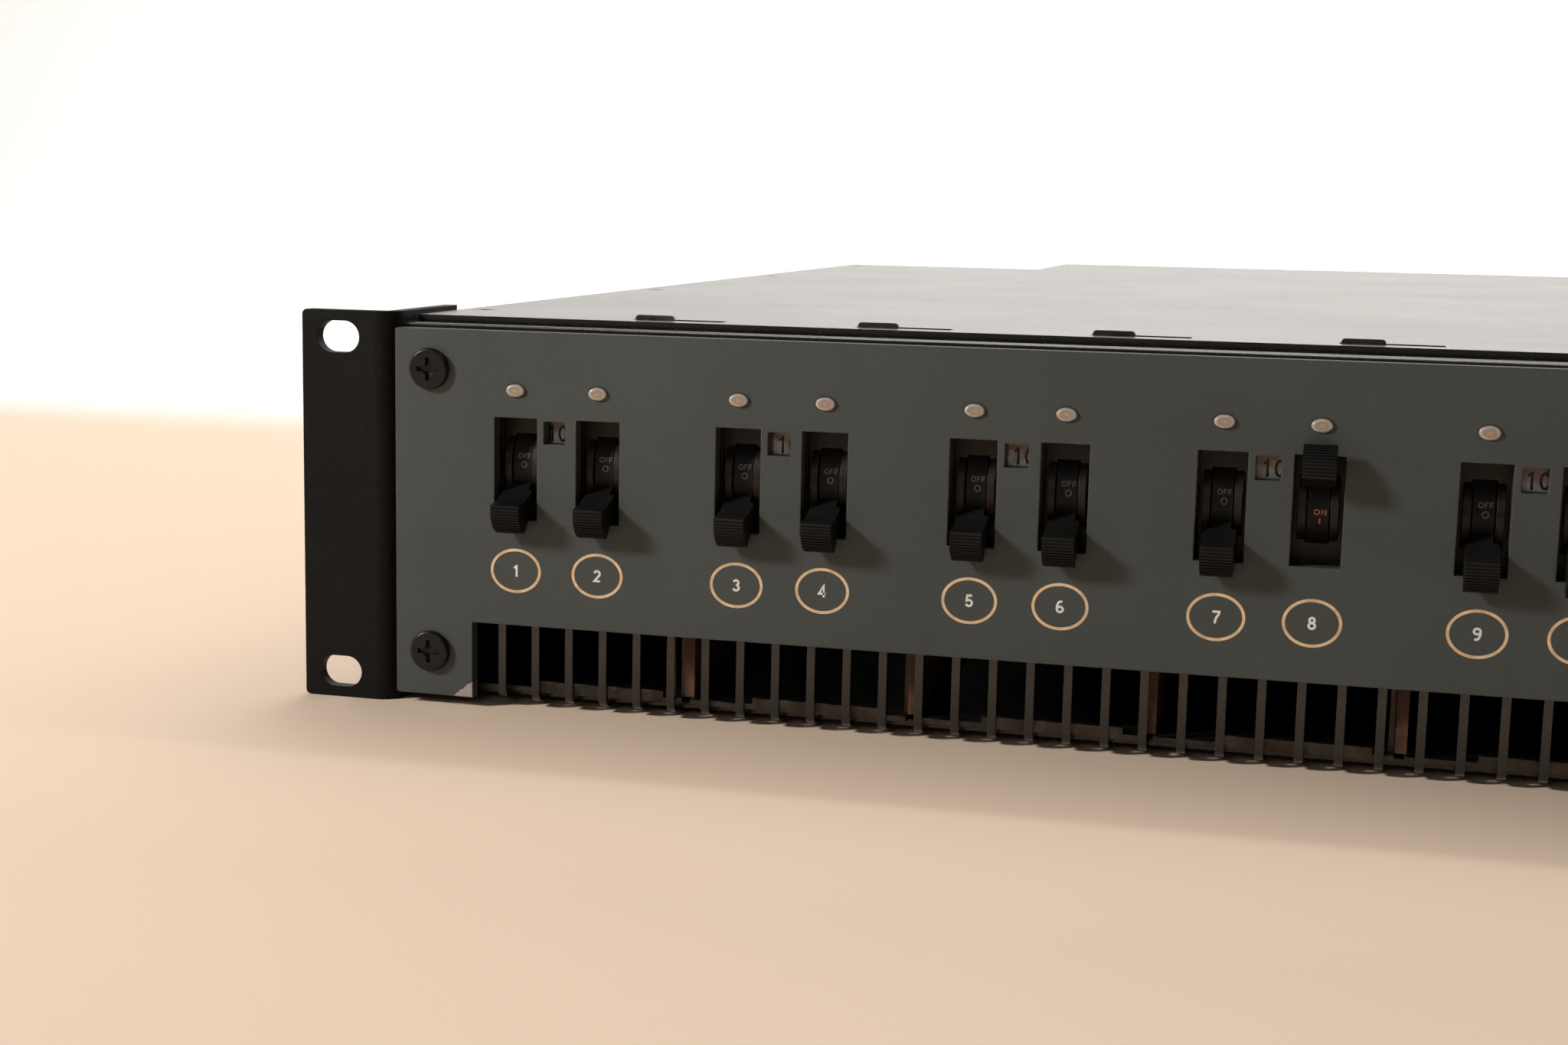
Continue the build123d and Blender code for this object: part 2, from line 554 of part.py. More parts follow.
def build():
    """Every node of the assembly, by name."""
    nodes = {
        "chassis": chassis(),
        "top_cover": top_cover(),
        "front_panel": front_panel(),
        "rack_ear_left": rack_ear(-1),
        "rack_ear_right": rack_ear(1),
        "rear_panel": rear_panel(),
        "inlet_recess": inlet_recess(),
        "panel_screws": panel_screws(),
        "panel_nuts": panel_nuts(),
        "ear_screws": ear_screws(),
        "rear_screws": rear_screws(),
        "cover_screws": cover_screws(),
        "led_lenses": led_lenses(),
        "led_board": led_board(),
        "rating_labels": rating_labels(),
        "handle_pins": handle_pins(),
        "load_terminals": load_terminals(),
        "line_busbar": line_busbar(),
        "module_liners": module_liners(),
        "neutral_bar": wiring_bar(446.0, -110.0, 186.0, -24.0),
        "earth_bar": wiring_bar(474.0, -110.0, 186.0, -24.0),
        "bar_supports": bar_supports(),
        "input_terminal_block": input_terminal_block(),
        "outlets": [outlet(x, z) for x, z in outlet_places()],
        "gland_body": gland_body(),
        "gland_lock_nut": gland_lock_nut(),
        "gland_seal": gland_seal(),
        "gland_cap": gland_cap(),
    }
    for module in range(MODULES):
        pair = [breaker_case(2 * module + 1), breaker_case(2 * module + 2)]
        nodes[f"module_tray_{module + 1}"] = module_tray(module)
        nodes[f"breaker_cases_{module + 1}"] = pair
    blank = handle_blank()
    for number in BREAKERS:
        nodes[f"handle_{number}"] = placed_handle(blank, number)
    return nodes


def write(nodes):
    os.makedirs("parts", exist_ok=True)
    for name, shape in nodes.items():
        solids = shape if isinstance(shape, list) else [shape]
        whole = solids[0] if len(solids) == 1 else Compound(children=[Part() + s for s in solids])
        export_step(whole, f"parts/{name}.step")
        print(f"{name}: {len(solids)}")


write(build())
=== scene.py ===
import math

import bmesh
import bpy
from mathutils import Matrix, Vector


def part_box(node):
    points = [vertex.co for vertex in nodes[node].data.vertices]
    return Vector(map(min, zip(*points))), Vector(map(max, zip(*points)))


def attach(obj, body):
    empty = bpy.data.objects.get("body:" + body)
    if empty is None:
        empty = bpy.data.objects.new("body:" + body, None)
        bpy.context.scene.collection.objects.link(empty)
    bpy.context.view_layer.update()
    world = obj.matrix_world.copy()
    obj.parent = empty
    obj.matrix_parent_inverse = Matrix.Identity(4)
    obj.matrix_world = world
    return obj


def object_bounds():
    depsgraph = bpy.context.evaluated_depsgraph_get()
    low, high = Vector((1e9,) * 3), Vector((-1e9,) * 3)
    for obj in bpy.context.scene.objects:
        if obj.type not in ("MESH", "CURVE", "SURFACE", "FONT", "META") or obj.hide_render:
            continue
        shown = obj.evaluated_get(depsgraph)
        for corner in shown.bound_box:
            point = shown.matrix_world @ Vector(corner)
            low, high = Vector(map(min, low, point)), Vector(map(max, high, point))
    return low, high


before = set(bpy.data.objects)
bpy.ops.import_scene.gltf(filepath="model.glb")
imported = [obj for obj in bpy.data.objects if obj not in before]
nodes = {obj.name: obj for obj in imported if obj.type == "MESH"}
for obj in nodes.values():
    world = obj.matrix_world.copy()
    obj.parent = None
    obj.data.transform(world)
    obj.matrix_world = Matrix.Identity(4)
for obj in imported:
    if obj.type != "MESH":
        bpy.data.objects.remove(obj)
cad_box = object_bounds()

MM = 0.001

# Driving sizes, in millimetres, the same as the part's own.
MODULES = 8
MODULE_PITCH = 50.8
FIRST_BREAKER = 13.1
BREAKER_PITCH = 19.05
BREAKERS = range(1, 2 * MODULES + 1)
RAISED_HANDLE = 8
HANDLE_SWING = 28.4
PIVOT = (14.7, 10.4)            # Y and Z of every handle's pin
SKIRT_RADIUS = 10.4
LENS = (4.5, 3.0)
LENS_Z = 27.7
VENT_HALF = 200.4               # half the length of the grille's cut-out in the panel
PANEL_BOTTOM = -41.8
LABEL_FACE = 4.75               # Y of the rating labels' front faces
REAR_FACE = 527.0               # Y of the rear panel's outer face
OUTLET_MARGIN = 16.0            # from the outlets' ends to the middle of the first and last
OUTLET_ROW_Z = 19.0             # height of the outlet rows over and under the middle

# Printed marks, in millimetres and degrees.
RING = (11.84, 9.94)
RING_Z = -12.3
RING_STROKE = 0.62
INK = 0.04                      # thickness of a printed layer
STROKE_STEP = 0.003             # extra thickness of each further stroke, so that crossings stay clean
PRINT_SINK = 0.01               # how far the handle marks start inside the skirt
PANEL_PRINT_SHIFT = 0.1         # the rings and handle marks sit a little right of the middle
HANDLE_PRINT_SHIFT = 0.35
RATING_Z = 18.2
RATING_SHIFT = 0.2
FIRST_RATING_SHIFT = -1.6       # the first label sits further left behind its window
REAR_NUMBER_OFFSET = 15.7       # from an outlet's middle to its number
# For each handle mark: words, height, angle over the paddle, stroke share and stretch.
OFF_MARKS = (("OFF", 1.2, 42.1, 0.2, 1.2), ("O", 1.5, 31.5, 0.19, 1.3))
ON_MARKS = (("ON", 1.15, -31.9, 0.2, 1.5), ("I", 1.1, -42.2, 0.3, 1.0))


def breaker_x(number):
    """Centre line of a breaker, counted from 1."""
    module, second = divmod(number - 1, 2)
    return (module - MODULES / 2) * MODULE_PITCH + FIRST_BREAKER + second * BREAKER_PITCH


# ---- camera --------------------------------------------------------------------------------
def aim(place, yaw, pitch, roll):
    """Camera matrix looking along +Y, then turned left by yaw, up by pitch and rolled."""
    forward = Vector((-math.sin(yaw) * math.cos(pitch), math.cos(yaw) * math.cos(pitch), math.sin(pitch)))
    level = Vector((math.cos(yaw), math.sin(yaw), 0))
    upright = level.cross(forward)
    right = level * math.cos(roll) + upright * math.sin(roll)
    up = upright * math.cos(roll) - level * math.sin(roll)
    turned = Matrix((right, up, -forward)).transposed().to_4x4()
    return Matrix.Translation(place) @ turned


def add_camera():
    """Low camera in front of the unit, turned towards its left end."""
    data = bpy.data.cameras.new("front_camera")
    data.sensor_width = 36.0
    data.lens = 52.06
    data.shift_x = 0.026
    data.shift_y = 0.0103
    data.clip_start = 0.01
    camera = bpy.data.objects.new("front_camera", data)
    bpy.context.scene.collection.objects.link(camera)
    place = Vector((-8.19, -463.65, 71.62)) * MM
    camera.matrix_world = aim(place, yaw=0.2726, pitch=-0.1518, roll=0.0180)
    bpy.context.scene.camera = camera


# ---- shader groups, each built once --------------------------------------------------------
def new_group(name, inputs, outputs):
    """Empty shader group with its sockets; returns the tree and its two end nodes."""
    tree = bpy.data.node_groups.new(name, "ShaderNodeTree")
    for label, kind, value in inputs:
        socket = tree.interface.new_socket(label, in_out="INPUT", socket_type=kind)
        if value is not None:
            socket.default_value = value
    for label, kind in outputs:
        tree.interface.new_socket(label, in_out="OUTPUT", socket_type=kind)
    return tree, tree.nodes.new("NodeGroupInput").outputs, tree.nodes.new("NodeGroupOutput").inputs


def put(tree, kind, settings=None, **links):
    """Adds a node; settings are its attributes, links its inputs by name (spaces as underscores)."""
    node = tree.nodes.new(kind)
    for key, value in (settings or {}).items():
        setattr(node, key, value)
    for key, value in links.items():
        plug(tree, socket_of(node, key), value)
    return node


def socket_of(node, key):
    """Input socket by name, or by number when written as in0, in1, in2."""
    if key.startswith("in") and key[2:].isdigit():
        return node.inputs[int(key[2:])]
    return node.inputs[key.replace("_", " ")]


def plug(tree, socket, value):
    if isinstance(value, bpy.types.NodeSocket):
        tree.links.new(value, socket)
    else:
        socket.default_value = value


def maths(tree, operation, *values, clamp=False):
    node = put(tree, "ShaderNodeMath", {"operation": operation, "use_clamp": clamp})
    for socket, value in zip(node.inputs, values):
        plug(tree, socket, value)
    return node.outputs[0]


def band(tree, value, low, high, to_low=0.0, to_high=1.0):
    """Clamped map of value from low..high to to_low..to_high."""
    node = put(tree, "ShaderNodeMapRange", {"clamp": True}, Value=value, From_Min=low, From_Max=high,
               To_Min=to_low, To_Max=to_high)
    return node.outputs[0]


def coordinates(tree, vector):
    """The X, Y and Z outputs of a vector."""
    return put(tree, "ShaderNodeSeparateXYZ", None, Vector=vector).outputs


def noise(tree, vector, scale, detail=2.0, roughness=0.5):
    return put(tree, "ShaderNodeTexNoise", None, Vector=vector, Scale=scale, Detail=detail,
               Roughness=roughness).outputs["Fac"]


def mix_colour(tree, factor, first, second):
    node = put(tree, "ShaderNodeMix", {"data_type": "RGBA"}, in0=factor, in6=first, in7=second)
    return node.outputs[2]


def mix_value(tree, factor, first, second):
    node = put(tree, "ShaderNodeMix", {"data_type": "FLOAT"}, in0=factor, in2=first, in3=second)
    return node.outputs[0]


def grain_group():
    """Fine grain height, broad clouding and rare pinpoint specks."""
    tree, given, out = new_group(
        "grain",
        [("Vector", "NodeSocketVector", None), ("Grain Size", "NodeSocketFloat", 0.0004),
         ("Cloud Size", "NodeSocketFloat", 0.05), ("Speck Share", "NodeSocketFloat", 0.1)],
        [("Grain", "NodeSocketFloat"), ("Clouds", "NodeSocketFloat"), ("Specks", "NodeSocketFloat")])
    grain = noise(tree, given["Vector"], maths(tree, "DIVIDE", 1.0, given["Grain Size"]), 3.0, 0.6)
    clouds = noise(tree, given["Vector"], maths(tree, "DIVIDE", 1.0, given["Cloud Size"]), 5.0, 0.65)
    cells = put(tree, "ShaderNodeTexVoronoi", {"feature": "F1"}, Vector=given["Vector"],
                Scale=maths(tree, "DIVIDE", 0.9, given["Grain Size"]))
    draw = put(tree, "ShaderNodeSeparateColor", None, Color=cells.outputs["Color"]).outputs[0]
    lucky = maths(tree, "LESS_THAN", draw, given["Speck Share"])
    speck = maths(tree, "MULTIPLY", lucky, band(tree, cells.outputs["Distance"], 0.32, 0.18))
    tree.links.new(grain, out["Grain"])
    tree.links.new(band(tree, clouds, 0.32, 0.68), out["Clouds"])
    tree.links.new(speck, out["Specks"])
    return tree


def edge_group():
    """Rounded edge normal, and a mask that is broken up along convex edges."""
    tree, given, out = new_group(
        "edge_wear_and_highlight",
        [("Vector", "NodeSocketVector", None), ("Radius", "NodeSocketFloat", 0.0004),
         ("Breakup Size", "NodeSocketFloat", 0.003)],
        [("Normal", "NodeSocketVector"), ("Edge", "NodeSocketFloat"), ("Wear And Highlight", "NodeSocketFloat")])
    bevel = put(tree, "ShaderNodeBevel", {"samples": 4}, Radius=given["Radius"])
    flat = put(tree, "ShaderNodeNewGeometry").outputs["True Normal"]
    dot = put(tree, "ShaderNodeVectorMath", {"operation": "DOT_PRODUCT"}, in0=bevel.outputs[0], in1=flat)
    edge = band(tree, dot.outputs["Value"], 0.995, 0.80)
    broken = noise(tree, given["Vector"], maths(tree, "DIVIDE", 1.0, given["Breakup Size"]), 4.0, 0.7)
    tree.links.new(bevel.outputs[0], out["Normal"])
    tree.links.new(edge, out["Edge"])
    tree.links.new(maths(tree, "MULTIPLY", edge, band(tree, broken, 0.5, 0.62)), out["Wear And Highlight"])
    return tree


def dust_group():
    """Thin dust, thicker on faces that look up."""
    tree, given, out = new_group(
        "dust",
        [("Vector", "NodeSocketVector", None), ("Amount", "NodeSocketFloat", 0.2)],
        [("Dust", "NodeSocketFloat")])
    normal = put(tree, "ShaderNodeNewGeometry").outputs["Normal"]
    upward = band(tree, coordinates(tree, normal)[2], -0.2, 1.0, 0.25)
    patches = band(tree, noise(tree, given["Vector"], 60.0, 6.0, 0.7), 0.35, 0.75)
    motes = band(tree, noise(tree, given["Vector"], 1400.0, 2.0, 0.5), 0.55, 0.75)
    cover = maths(tree, "ADD", maths(tree, "MULTIPLY", patches, 0.6), maths(tree, "MULTIPLY", motes, 0.4))
    film = maths(tree, "MULTIPLY", upward, cover)
    tree.links.new(maths(tree, "MULTIPLY", film, given["Amount"], clamp=True), out["Dust"])
    return tree


def scratch_group():
    """Fine scratches along two directions."""
    tree, given, out = new_group(
        "scratches",
        [("Vector", "NodeSocketVector", None), ("Length", "NodeSocketFloat", 0.02),
         ("Width", "NodeSocketFloat", 0.0002)],
        [("Scratches", "NodeSocketFloat")])
    total = None
    for angle in (0.35, -0.8):
        turned = put(tree, "ShaderNodeVectorRotate", {"rotation_type": "AXIS_ANGLE"},
                     Vector=given["Vector"], Axis=(0.2, 1.0, 0.4), Angle=angle).outputs[0]
        along = maths(tree, "DIVIDE", 1.0, given["Length"])
        across = maths(tree, "DIVIDE", 1.0, given["Width"])
        squeeze = put(tree, "ShaderNodeCombineXYZ", None, X=along, Y=across, Z=across)
        stretched = put(tree, "ShaderNodeVectorMath", {"operation": "MULTIPLY"}, in0=turned,
                        in1=squeeze.outputs[0]).outputs[0]
        lines = band(tree, noise(tree, stretched, 1.0, 1.0, 0.4), 0.70, 0.78)
        total = lines if total is None else maths(tree, "MAXIMUM", total, lines)
    tree.links.new(total, out["Scratches"])
    return tree


GRAIN = grain_group()
EDGE = edge_group()
DUST = dust_group()
SCRATCH = scratch_group()


# ---- materials -----------------------------------------------------------------------------
class Finish:
    """One material: its node tree, its shader and the object coordinates that feed its textures."""

    def __init__(self, name, **fixed):
        self.material = bpy.data.materials.new(name)
        self.material.use_nodes = True
        self.tree = self.material.node_tree
        self.tree.nodes.clear()
        self.shader = self.tree.nodes.new("ShaderNodeBsdfPrincipled")
        output = self.tree.nodes.new("ShaderNodeOutputMaterial")
        self.tree.links.new(self.shader.outputs[0], output.inputs[0])
        self.place = self.tree.nodes.new("ShaderNodeTexCoord").outputs["Object"]
        for key, value in fixed.items():
            self.shader.inputs[key.replace("_", " ")].default_value = value

    def group(self, tree, **values):
        node = put(self.tree, "ShaderNodeGroup", {"node_tree": tree})
        plug(self.tree, node.inputs["Vector"], self.place)
        for key, value in values.items():
            plug(self.tree, node.inputs[key.replace("_", " ")], value)
        return node.outputs

    def bump(self, height, distance, normal=None):
        """Normal roughened by a height, over the given normal or the surface's own."""
        normal = normal or put(self.tree, "ShaderNodeNewGeometry").outputs["Normal"]
        return put(self.tree, "ShaderNodeBump", None, Height=height, Distance=distance, Strength=1.0,
                   Normal=normal).outputs[0]

    def feed(self, **links):
        for key, value in links.items():
            plug(self.tree, self.shader.inputs[key.replace("_", " ")], value)
        return self.material


def colour(red, green, blue):
    return (red, green, blue, 1.0)


def painted(name, dark, light, rough, grain_size, grain_depth, edge_wear_and_highlight_tint, dust=0.03, specks=0.03,
            speck_tint=colour(0.06, 0.058, 0.054), radius=0.0004, gloss=0.5, chip=None):
    """Paint or powder coat: clouded colour, grain, specks, lighter edges that are partly rubbed wear and
    partly painted highlight, and a film of dust.
    """
    finish = Finish(name, Specular_IOR_Level=gloss)
    tree = finish.tree
    grain = finish.group(GRAIN, Grain_Size=grain_size, Cloud_Size=0.06, Speck_Share=specks)
    edge = finish.group(EDGE, Radius=radius)
    film = finish.group(DUST, Amount=dust)
    scratch = finish.group(SCRATCH)
    base = mix_colour(tree, grain["Clouds"], dark, light)
    base = mix_colour(tree, maths(tree, "MULTIPLY", grain["Specks"], 0.6), base, speck_tint)
    # Lighter convex edges: partly rubbed wear, partly painted highlight.
    base = mix_colour(tree, maths(tree, "MULTIPLY", edge["Wear And Highlight"], 0.6), base, edge_wear_and_highlight_tint)
    base = mix_colour(tree, maths(tree, "MULTIPLY", scratch["Scratches"], 0.10), base, edge_wear_and_highlight_tint)
    base = mix_colour(tree, film["Dust"], base, colour(0.32, 0.29, 0.25))
    roughness = band(tree, grain["Clouds"], 0.0, 1.0, rough - 0.01, rough + 0.02)
    roughness = maths(tree, "ADD", roughness, maths(tree, "MULTIPLY", film["Dust"], 0.2), clamp=True)
    if chip:
        bare = chip(tree, finish.place)
        base = mix_colour(tree, bare, base, colour(0.50, 0.49, 0.47))
        roughness = mix_value(tree, bare, roughness, 0.38)
        finish.feed(Metallic=bare)
    return finish.feed(Base_Color=base, Roughness=roughness,
                       Normal=finish.bump(grain["Grain"], grain_depth, edge["Normal"]))


def corner_chip(tree, place):
    """Bare metal where the paint is knocked off the lower inner corner of the left tab."""
    slant = 1.25
    reach = (4.7 * MM, 4.5 * MM)
    split = coordinates(tree, place)
    chatter = maths(tree, "SUBTRACT", noise(tree, place, 900.0, 3.0, 0.6), 0.5)
    ragged = maths(tree, "MULTIPLY", chatter, 2.2 * MM)
    across = maths(tree, "ADD", split[0], VENT_HALF * MM)
    above = maths(tree, "SUBTRACT", split[2], PANEL_BOTTOM * MM)
    slope = maths(tree, "SUBTRACT", maths(tree, "MULTIPLY", above, slant), across)
    inside = band(tree, maths(tree, "ADD", slope, ragged), *reach)
    return maths(tree, "MULTIPLY", inside, maths(tree, "LESS_THAN", across, 0.2 * MM))


def moulded(name, dark, light, rough, grain_size, grain_depth, dust=0.02, radius=0.0003, gloss=0.4,
            cloud_size=0.012):
    """Moulded plastic: slight flow clouding, fine spark-eroded grain and lighter edges, partly soft wear and
    partly painted highlight.
    """
    finish = Finish(name, Specular_IOR_Level=gloss)
    tree = finish.tree
    grain = finish.group(GRAIN, Grain_Size=grain_size, Cloud_Size=cloud_size, Speck_Share=0.02)
    edge = finish.group(EDGE, Radius=radius, Breakup_Size=0.0015)
    film = finish.group(DUST, Amount=dust)
    base = mix_colour(tree, grain["Clouds"], dark, light)
    # Lighter edges: partly wear, partly painted highlight.
    base = mix_colour(tree, maths(tree, "MULTIPLY", edge["Edge"], 0.25), base, colour(0.05, 0.048, 0.045))
    base = mix_colour(tree, film["Dust"], base, colour(0.3, 0.27, 0.23))
    roughness = band(tree, grain["Clouds"], 0.0, 1.0, rough - 0.05, rough + 0.07)
    return finish.feed(Base_Color=base, Roughness=maths(tree, "ADD", roughness, film["Dust"], clamp=True),
                       Normal=finish.bump(grain["Grain"], grain_depth, edge["Normal"]))


def bare_metal(name, dark, light, rough, stain):
    """Plated or bare sheet: clouding, scratches and stains."""
    stain_share = 0.35
    finish = Finish(name, Metallic=1.0)
    tree = finish.tree
    grain = finish.group(GRAIN, Grain_Size=0.0003, Cloud_Size=0.008, Speck_Share=0.05)
    edge = finish.group(EDGE, Radius=0.0003)
    scratch = finish.group(SCRATCH, Length=0.03, Width=0.00015)
    base = mix_colour(tree, grain["Clouds"], dark, light)
    base = mix_colour(tree, maths(tree, "MULTIPLY", grain["Specks"], stain_share), base, stain)
    blotch = band(tree, noise(tree, finish.place, 180.0, 5.0, 0.7), 0.52, 0.75, 0.0, stain_share)
    base = mix_colour(tree, blotch, base, stain)
    roughness = band(tree, grain["Clouds"], 0.0, 1.0, rough - 0.08, rough + 0.12)
    roughness = maths(tree, "ADD", roughness, maths(tree, "MULTIPLY", scratch["Scratches"], 0.2), clamp=True)
    height = maths(tree, "ADD", maths(tree, "MULTIPLY", grain["Grain"], 0.4), scratch["Scratches"])
    return finish.feed(Base_Color=base, Roughness=roughness,
                       Normal=finish.bump(height, 0.00004, edge["Normal"]))


def lens_finish():
    """Clear oval lens over a warm diode: pale rim, warm core, wet gloss."""
    finish = Finish("lens", Coat_Weight=0.8, Coat_Roughness=0.06, Subsurface_Weight=0.25,
                    Subsurface_Scale=0.002, Roughness=0.35)
    tree = finish.tree
    split = coordinates(tree, finish.place)
    first, second = (maths(tree, "PINGPONG", maths(tree, "SUBTRACT", split[0], breaker_x(number) * MM),
                           MODULE_PITCH / 2 * MM) for number in (1, 2))
    across = maths(tree, "DIVIDE", maths(tree, "MINIMUM", first, second), LENS[0] / 2 * MM)
    height = maths(tree, "DIVIDE", maths(tree, "SUBTRACT", split[2], LENS_Z * MM), LENS[1] / 2 * MM)
    squares = [maths(tree, "POWER", across, 2.0), maths(tree, "MULTIPLY", height, height)]
    radius = maths(tree, "SQRT", maths(tree, "ADD", *squares))
    wobble = maths(tree, "SUBTRACT", noise(tree, finish.place, 1300.0), 0.5)
    radius = maths(tree, "ADD", radius, maths(tree, "MULTIPLY", wobble, 0.35))
    ramp = put(tree, "ShaderNodeValToRGB", None, Fac=radius)
    stops = ((0.0, (0.50, 0.31, 0.17)), (0.3, (0.31, 0.22, 0.155)), (0.55, (0.27, 0.22, 0.18)),
             (0.8, (0.42, 0.385, 0.345)), (0.97, (0.17, 0.155, 0.14)))
    elements = ramp.color_ramp.elements
    while len(elements) < len(stops):
        elements.new(0.5)
    for element, (position, rgb) in zip(elements, stops):
        element.position = position
        element.color = colour(*rgb)
    grain = finish.group(GRAIN, Grain_Size=0.0006, Cloud_Size=0.004)
    return finish.feed(Base_Color=ramp.outputs[0], Normal=finish.bump(grain["Grain"], 0.00003))


def laminate(name, dark, light, speck):
    """Brown laminate or pressboard: woven or fibrous surface, stains and pale fibres."""
    finish = Finish(name, Specular_IOR_Level=0.4)
    tree = finish.tree
    grain = finish.group(GRAIN, Grain_Size=0.0005, Cloud_Size=0.006, Speck_Share=0.12)
    base = mix_colour(tree, grain["Clouds"], dark, light)
    base = mix_colour(tree, maths(tree, "MULTIPLY", grain["Specks"], 0.6), base, speck)
    return finish.feed(Base_Color=base, Roughness=band(tree, grain["Clouds"], 0.0, 1.0, 0.5, 0.7),
                       Normal=finish.bump(grain["Grain"], 0.00006))


def label_finish():
    """Silvery foil label: bright along the foot of the window as painted light, darker brown and mottled
    above as painted shade under the window's top edge.
    """
    finish = Finish("foil_label")
    tree = finish.tree
    grain = finish.group(GRAIN, Grain_Size=0.0004, Cloud_Size=0.004, Speck_Share=0.1)
    height = coordinates(tree, finish.place)[2]
    ragged = maths(tree, "MULTIPLY", maths(tree, "SUBTRACT", grain["Clouds"], 0.5), 0.004)
    # Painted light: a band by height makes the foot of the label bright and leaves the part above darker as
    # painted shade.
    painted_lit_foot = band(tree, maths(tree, "ADD", height, ragged), 0.0195, 0.0165)
    base = mix_colour(tree, grain["Clouds"], colour(0.20, 0.10, 0.06), colour(0.42, 0.32, 0.26))
    base = mix_colour(tree, painted_lit_foot, base, colour(0.96, 0.94, 0.90))
    base = mix_colour(tree, maths(tree, "MULTIPLY", grain["Specks"], 0.5), base, colour(0.75, 0.73, 0.7))
    return finish.feed(Base_Color=base, Roughness=band(tree, grain["Clouds"], 0.0, 1.0, 0.5, 0.35),
                       Normal=finish.bump(grain["Grain"], 0.00004))


def ink_finish(name, thin, full, metallic=0.0, rough=0.5):
    """Screen-printed ink that thins out in places."""
    finish = Finish(name, Metallic=metallic)
    tree = finish.tree
    grain = finish.group(GRAIN, Grain_Size=0.00025, Cloud_Size=0.003, Speck_Share=0.05)
    cover = maths(tree, "ADD", maths(tree, "MULTIPLY", grain["Clouds"], 0.75),
                  maths(tree, "MULTIPLY", grain["Grain"], 0.25), clamp=True)
    base = mix_colour(tree, cover, thin, full)
    return finish.feed(Base_Color=base, Roughness=band(tree, grain["Clouds"], 0.0, 1.0, rough + 0.1, rough),
                       Normal=finish.bump(grain["Grain"], 0.00002))


# Each one: name, dark and light colour, roughness, grain size and depth, then what sets it apart.
PANEL_PAINT = painted(
    "panel_paint", colour(0.043, 0.049, 0.046), colour(0.053, 0.060, 0.057), 0.5, 0.00035, 0.00004,
    edge_wear_and_highlight_tint=colour(0.20, 0.19, 0.17), dust=0.02, specks=0.05, speck_tint=colour(0.11, 0.107, 0.10),
    gloss=0.4, chip=corner_chip)
CHASSIS_PAINT = painted(
    "chassis_paint", colour(0.0045, 0.004, 0.0035), colour(0.009, 0.0075, 0.006), 0.18, 0.0007, 0.00003,
    edge_wear_and_highlight_tint=colour(0.06, 0.045, 0.035), dust=0.01, radius=0.0003, gloss=0.7)
COVER_PAINT = painted(
    "cover_paint", colour(0.007, 0.0068, 0.0065), colour(0.010, 0.0098, 0.0095), 0.24, 0.0008, 0.00002,
    edge_wear_and_highlight_tint=colour(0.12, 0.11, 0.10), dust=0.01, specks=0.02, gloss=0.4)
# Its lighter specks are painted glints of the powder coat's sparkle.
EAR_PAINT = painted(
    "ear_powder_coat", colour(0.003, 0.003, 0.0028), colour(0.006, 0.0059, 0.0056), 0.5, 0.0006, 0.00014,
    edge_wear_and_highlight_tint=colour(0.05, 0.048, 0.045), dust=0.005, specks=0.06, speck_tint=colour(0.03, 0.029, 0.027),
    gloss=0.12)
SCREW_BLACK = painted(
    "black_oxide", colour(0.0025, 0.0025, 0.0025), colour(0.006, 0.0058, 0.0055), 0.28, 0.0003, 0.00003,
    edge_wear_and_highlight_tint=colour(0.10, 0.09, 0.08), dust=0.0, radius=0.0002, gloss=0.3)
HANDLE_PLASTIC = moulded(
    "handle_plastic", colour(0.005, 0.005, 0.005), colour(0.010, 0.0095, 0.009), 0.42, 0.0004, 0.00002,
    dust=0.01, radius=0.00005, gloss=0.18)
# The brown in its lighter colour is a painted reflection of warm surroundings; the plastic itself is black.
CASE_PLASTIC = moulded(
    "case_plastic", colour(0.002, 0.0018, 0.0015), colour(0.024, 0.012, 0.0065), 0.38, 0.0006, 0.00005,
    dust=0.01, gloss=0.3, cloud_size=0.006)
OUTLET_PLASTIC = moulded(
    "outlet_plastic", colour(0.008, 0.008, 0.008), colour(0.014, 0.014, 0.014), 0.42, 0.0004, 0.00004)
GLAND_NYLON = moulded(
    "gland_nylon", colour(0.010, 0.010, 0.010), colour(0.018, 0.018, 0.018), 0.48, 0.0005, 0.00005)
INSULATOR = moulded(
    "insulator", colour(0.36, 0.36, 0.34), colour(0.46, 0.46, 0.44), 0.55, 0.0005, 0.00004)
SEAL_RUBBER = moulded(
    "seal_rubber", colour(0.010, 0.010, 0.010), colour(0.018, 0.017, 0.016), 0.75, 0.0005, 0.00006)
# Far darker than bare sheet metal: painted shade for the dark inside of the unit.
TRAY_METAL = bare_metal(
    "tray_metal", colour(0.04, 0.034, 0.028), colour(0.13, 0.112, 0.095), 0.42,
    stain=colour(0.09, 0.05, 0.03))
ZINC = bare_metal(
    "zinc_plate", colour(0.5, 0.5, 0.48), colour(0.7, 0.7, 0.67), 0.3, stain=colour(0.3, 0.28, 0.2))
COPPER = bare_metal(
    "copper_bar", colour(0.52, 0.24, 0.13), colour(0.78, 0.42, 0.27), 0.3, stain=colour(0.2, 0.1, 0.06))
BRASS = bare_metal(
    "brass_bar", colour(0.55, 0.40, 0.17), colour(0.76, 0.6, 0.3), 0.3, stain=colour(0.25, 0.17, 0.08))
LENS_CLEAR = lens_finish()
CIRCUIT_BOARD = laminate(
    "circuit_board", colour(0.05, 0.03, 0.012), colour(0.13, 0.08, 0.035), colour(0.4, 0.3, 0.18))
PRESSBOARD = laminate(
    "pressboard", colour(0.03, 0.014, 0.007), colour(0.14, 0.060, 0.027), colour(0.24, 0.15, 0.09))
FOIL = label_finish()
